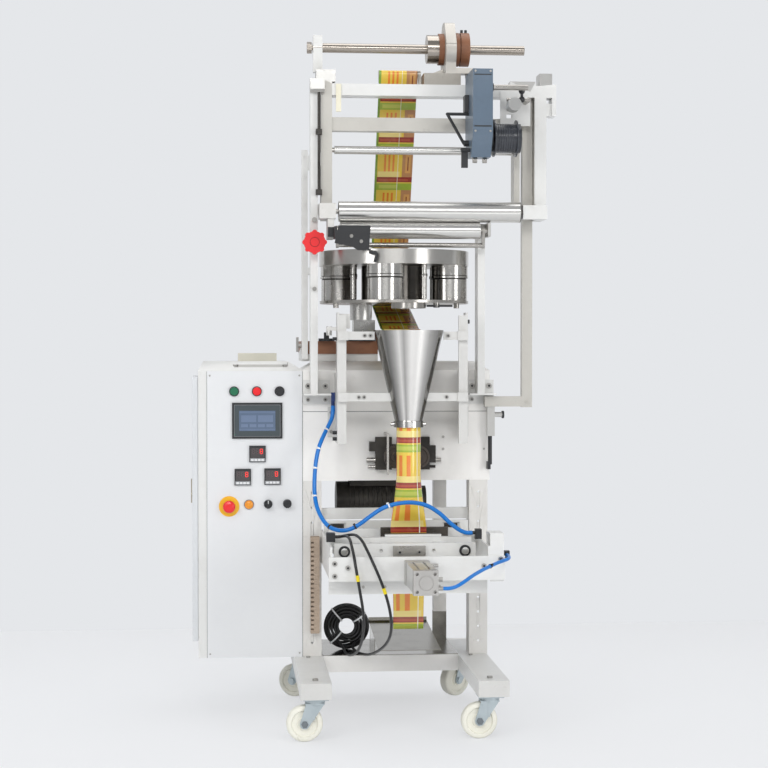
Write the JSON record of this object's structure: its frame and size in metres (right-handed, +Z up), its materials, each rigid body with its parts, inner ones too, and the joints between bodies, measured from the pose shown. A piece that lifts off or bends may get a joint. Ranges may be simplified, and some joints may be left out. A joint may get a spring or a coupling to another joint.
{
  "type": "tea packing machine",
  "caption": "Vertical form, fill and seal machine on casters with rotary cup doser, funnel, film reel frame, heated jaws and side control cabinet.",
  "frame": {"origin": "middle of the machine's footprint on the floor", "axes": "+Z up, -Y towards the operator, +X to the operator's right"},
  "size_m": [1.0672, 0.968, 2.03],
  "materials": {
    "paint": "off-white powder coat",
    "panel": "cool white panel paint",
    "steel": "ground stainless steel",
    "bright": "polished stainless sheet",
    "alu": "satin anodised aluminium",
    "zinc": "blue zinc plated pressings",
    "nylon": "cream nylon",
    "brown": "brown phenolic board",
    "dark": "black moulded plastic",
    "darksteel": "blackened steel",
    "green": "green button cap",
    "red": "red moulded plastic",
    "yellow": "yellow plate",
    "printer": "blue-grey enamel",
    "film": "laminated packing film",
    "duct": "beige slotted duct",
    "hose": "blue polyurethane tube",
    "cable": "black sheath"
  },
  "bodies": {
    "frame": {"base_frame": "paint", "base_tray": "steel", "posts": "paint", "machine_body": "paint", "cabinet_shell": "paint", "cabinet_front": "panel", "hmi_unit": "dark", "controllers": "dark", "panel_collars": "steel", "estop_plate": "yellow", "uprights": "paint", "beams": "paint", "reel_supports": "alu", "sensor_bracket": "dark", "printer_box": "printer", "dosing_plate": "steel", "dosing_drive": "steel", "brown_base": "brown", "funnel": "bright", "funnel_brackets": "paint", "pull_unit": "darksteel", "jaw_frame": "paint", "air_cylinder": "alu", "film": "film", "wire_duct": "duct", "hose_left": "hose", "hose_right": "hose", "cable_a": "cable", "cable_b": "cable", "cable_coil": "cable"},
    "swivel_fl": {"fork_fl": "zinc"},
    "roll_fl": {"wheel_fl": "nylon"},
    "swivel_fr": {"fork_fr": "zinc"},
    "roll_fr": {"wheel_fr": "nylon"},
    "swivel_rl": {"fork_rl": "zinc"},
    "roll_rl": {"wheel_rl": "nylon"},
    "swivel_rr": {"fork_rr": "zinc"},
    "roll_rr": {"wheel_rr": "nylon"},
    "door": {"side_door": "paint"},
    "latch": {"door_latch": "steel"},
    "push_green": {"button_green": "green"},
    "push_red": {"button_red": "red"},
    "push_black": {"button_black": "dark"},
    "estop": {"estop_head": "red"},
    "selector": {"selector_knob": "dark"},
    "key": {"key_knob": "dark"},
    "star": {"star_knob": "red"},
    "roller_big": {"big_roller": "alu"},
    "roller_second": {"second_roller": "alu"},
    "idler": {"idler_rod": "steel"},
    "dancer_arm": {"dancer": "steel"},
    "reel": {"reel_shaft": "steel"},
    "ribbon": {"ribbon_spool": "dark"},
    "print_knob": {"printer_knob": "steel"},
    "turntable": {"dosing_pan": "bright", "dosing_cups": "bright"},
    "pull_left": {"pull_wheel_left": "darksteel"},
    "pull_right": {"pull_wheel_right": "darksteel"},
    "jaw_front": {"front_jaw": "steel"},
    "jaw_rear": {"rear_jaw": "steel"}
  },
  "joints": [
    {"name": "caster_swivel_fl", "type": "hinge", "parent": "frame", "child": "swivel_fl", "pos_m": [-0.1899, -0.204, 0.1], "axis": [0, 0, 1], "continuous": true},
    {"name": "caster_roll_fl", "type": "hinge", "parent": "swivel_fl", "child": "roll_fl", "pos_m": [-0.2199, -0.204, 0.05], "axis": [0, -1, 0], "continuous": true},
    {"name": "caster_swivel_fr", "type": "hinge", "parent": "frame", "child": "swivel_fr", "pos_m": [0.2911, -0.204, 0.1], "axis": [0, 0, 1], "continuous": true},
    {"name": "caster_roll_fr", "type": "hinge", "parent": "swivel_fr", "child": "roll_fr", "pos_m": [0.2611, -0.204, 0.05], "axis": [0, -1, 0], "continuous": true},
    {"name": "caster_swivel_rl", "type": "hinge", "parent": "frame", "child": "swivel_rl", "pos_m": [-0.1939, 0.422, 0.1], "axis": [0, 0, 1], "continuous": true},
    {"name": "caster_roll_rl", "type": "hinge", "parent": "swivel_rl", "child": "roll_rl", "pos_m": [-0.21988, 0.437, 0.05], "axis": [-0.5, -0.866, 0], "continuous": true},
    {"name": "caster_swivel_rr", "type": "hinge", "parent": "frame", "child": "swivel_rr", "pos_m": [0.2971, 0.422, 0.1], "axis": [0, 0, 1], "continuous": true},
    {"name": "caster_roll_rr", "type": "hinge", "parent": "swivel_rr", "child": "roll_rr", "pos_m": [0.27253, 0.40479, 0.05], "axis": [0.5736, -0.8192, 0], "continuous": true},
    {"name": "door_hinge", "type": "hinge", "parent": "frame", "child": "door", "pos_m": [-0.5215, 0.476, 0.6], "axis": [0, 0, -1], "range_deg": [0, 110]},
    {"name": "door_latch_turn", "type": "hinge", "parent": "door", "child": "latch", "pos_m": [-0.5214, 0.204, 0.644], "axis": [1, 0, 0], "range_deg": [0, 90]},
    {"name": "push_green_button", "type": "slide", "parent": "frame", "child": "push_green", "axis": [0, 1, 0], "range_m": [0, 0.004], "stiffness_N_per_m": 300, "springref_m": -0.002},
    {"name": "push_red_button", "type": "slide", "parent": "frame", "child": "push_red", "axis": [0, 1, 0], "range_m": [0, 0.004], "stiffness_N_per_m": 300, "springref_m": -0.002},
    {"name": "push_black_button", "type": "slide", "parent": "frame", "child": "push_black", "axis": [0, 1, 0], "range_m": [0, 0.004], "stiffness_N_per_m": 300, "springref_m": -0.002},
    {"name": "emergency_stop", "type": "slide", "parent": "frame", "child": "estop", "axis": [0, 1, 0], "range_m": [0, 0.003], "stiffness_N_per_m": 500, "springref_m": -0.002},
    {"name": "selector_turn", "type": "hinge", "parent": "frame", "child": "selector", "pos_m": [-0.3084, 0.174, 0.616], "axis": [0, 1, 0], "range_deg": [-45, 45]},
    {"name": "key_turn", "type": "hinge", "parent": "frame", "child": "key", "pos_m": [-0.2524, 0.174, 0.617], "axis": [0, 1, 0], "range_deg": [-45, 45]},
    {"name": "star_knob_turn", "type": "hinge", "parent": "frame", "child": "star", "pos_m": [-0.1764, 0.082, 1.378], "axis": [0, 1, 0], "continuous": true},
    {"name": "big_roller_turn", "type": "hinge", "parent": "frame", "child": "roller_big", "pos_m": [0.1556, 0.08, 1.467], "axis": [1, 0, 0], "continuous": true},
    {"name": "second_roller_turn", "type": "hinge", "parent": "frame", "child": "roller_second", "pos_m": [0.0996, 0.08, 1.413], "axis": [1, 0, 0], "continuous": true},
    {"name": "idler_turn", "type": "hinge", "parent": "frame", "child": "idler", "pos_m": [0.1446, 0.144, 1.65], "axis": [1, 0, 0], "continuous": true},
    {"name": "dancer_swing", "type": "hinge", "parent": "frame", "child": "dancer_arm", "pos_m": [0.0996, 0.08, 1.413], "axis": [1, 0, 0], "range_deg": [-35, 20]},
    {"name": "reel_turn", "type": "hinge", "parent": "frame", "child": "reel", "pos_m": [0.1276, 0.184, 1.952], "axis": [1, 0, 0], "continuous": true},
    {"name": "ribbon_turn", "type": "hinge", "parent": "frame", "child": "ribbon", "pos_m": [0.3736, 0.039, 1.676], "axis": [1, 0, 0], "continuous": true},
    {"name": "printer_knob_turn", "type": "hinge", "parent": "frame", "child": "print_knob", "pos_m": [0.3916, 0.019, 1.77], "axis": [0, 1, 0], "continuous": true},
    {"name": "dosing_turn", "type": "hinge", "parent": "frame", "child": "turntable", "pos_m": [0.0656, 0.219, 1.28], "axis": [0, 0, 1], "continuous": true},
    {"name": "pull_left_turn", "type": "hinge", "parent": "frame", "child": "pull_left", "pos_m": [0.0591, 0.1055, 0.757], "axis": [0, 1, 0], "continuous": true},
    {"name": "pull_right_turn", "type": "hinge", "parent": "frame", "child": "pull_right", "pos_m": [0.1261, 0.1055, 0.757], "axis": [0, 1, 0], "continuous": true},
    {"name": "front_jaw_slide", "type": "slide", "parent": "frame", "child": "jaw_front", "axis": [0, 1, 0], "range_m": [0, 0.034]},
    {"name": "rear_jaw_slide", "type": "slide", "parent": "frame", "child": "jaw_rear", "axis": [0, -1, 0], "range_m": [0, 0.034]}
  ],
  "couplings": [
    {"joint": "pull_right_turn", "follows": "pull_left_turn", "ratio": -1},
    {"joint": "rear_jaw_slide", "follows": "front_jaw_slide", "ratio": 1}
  ]
}
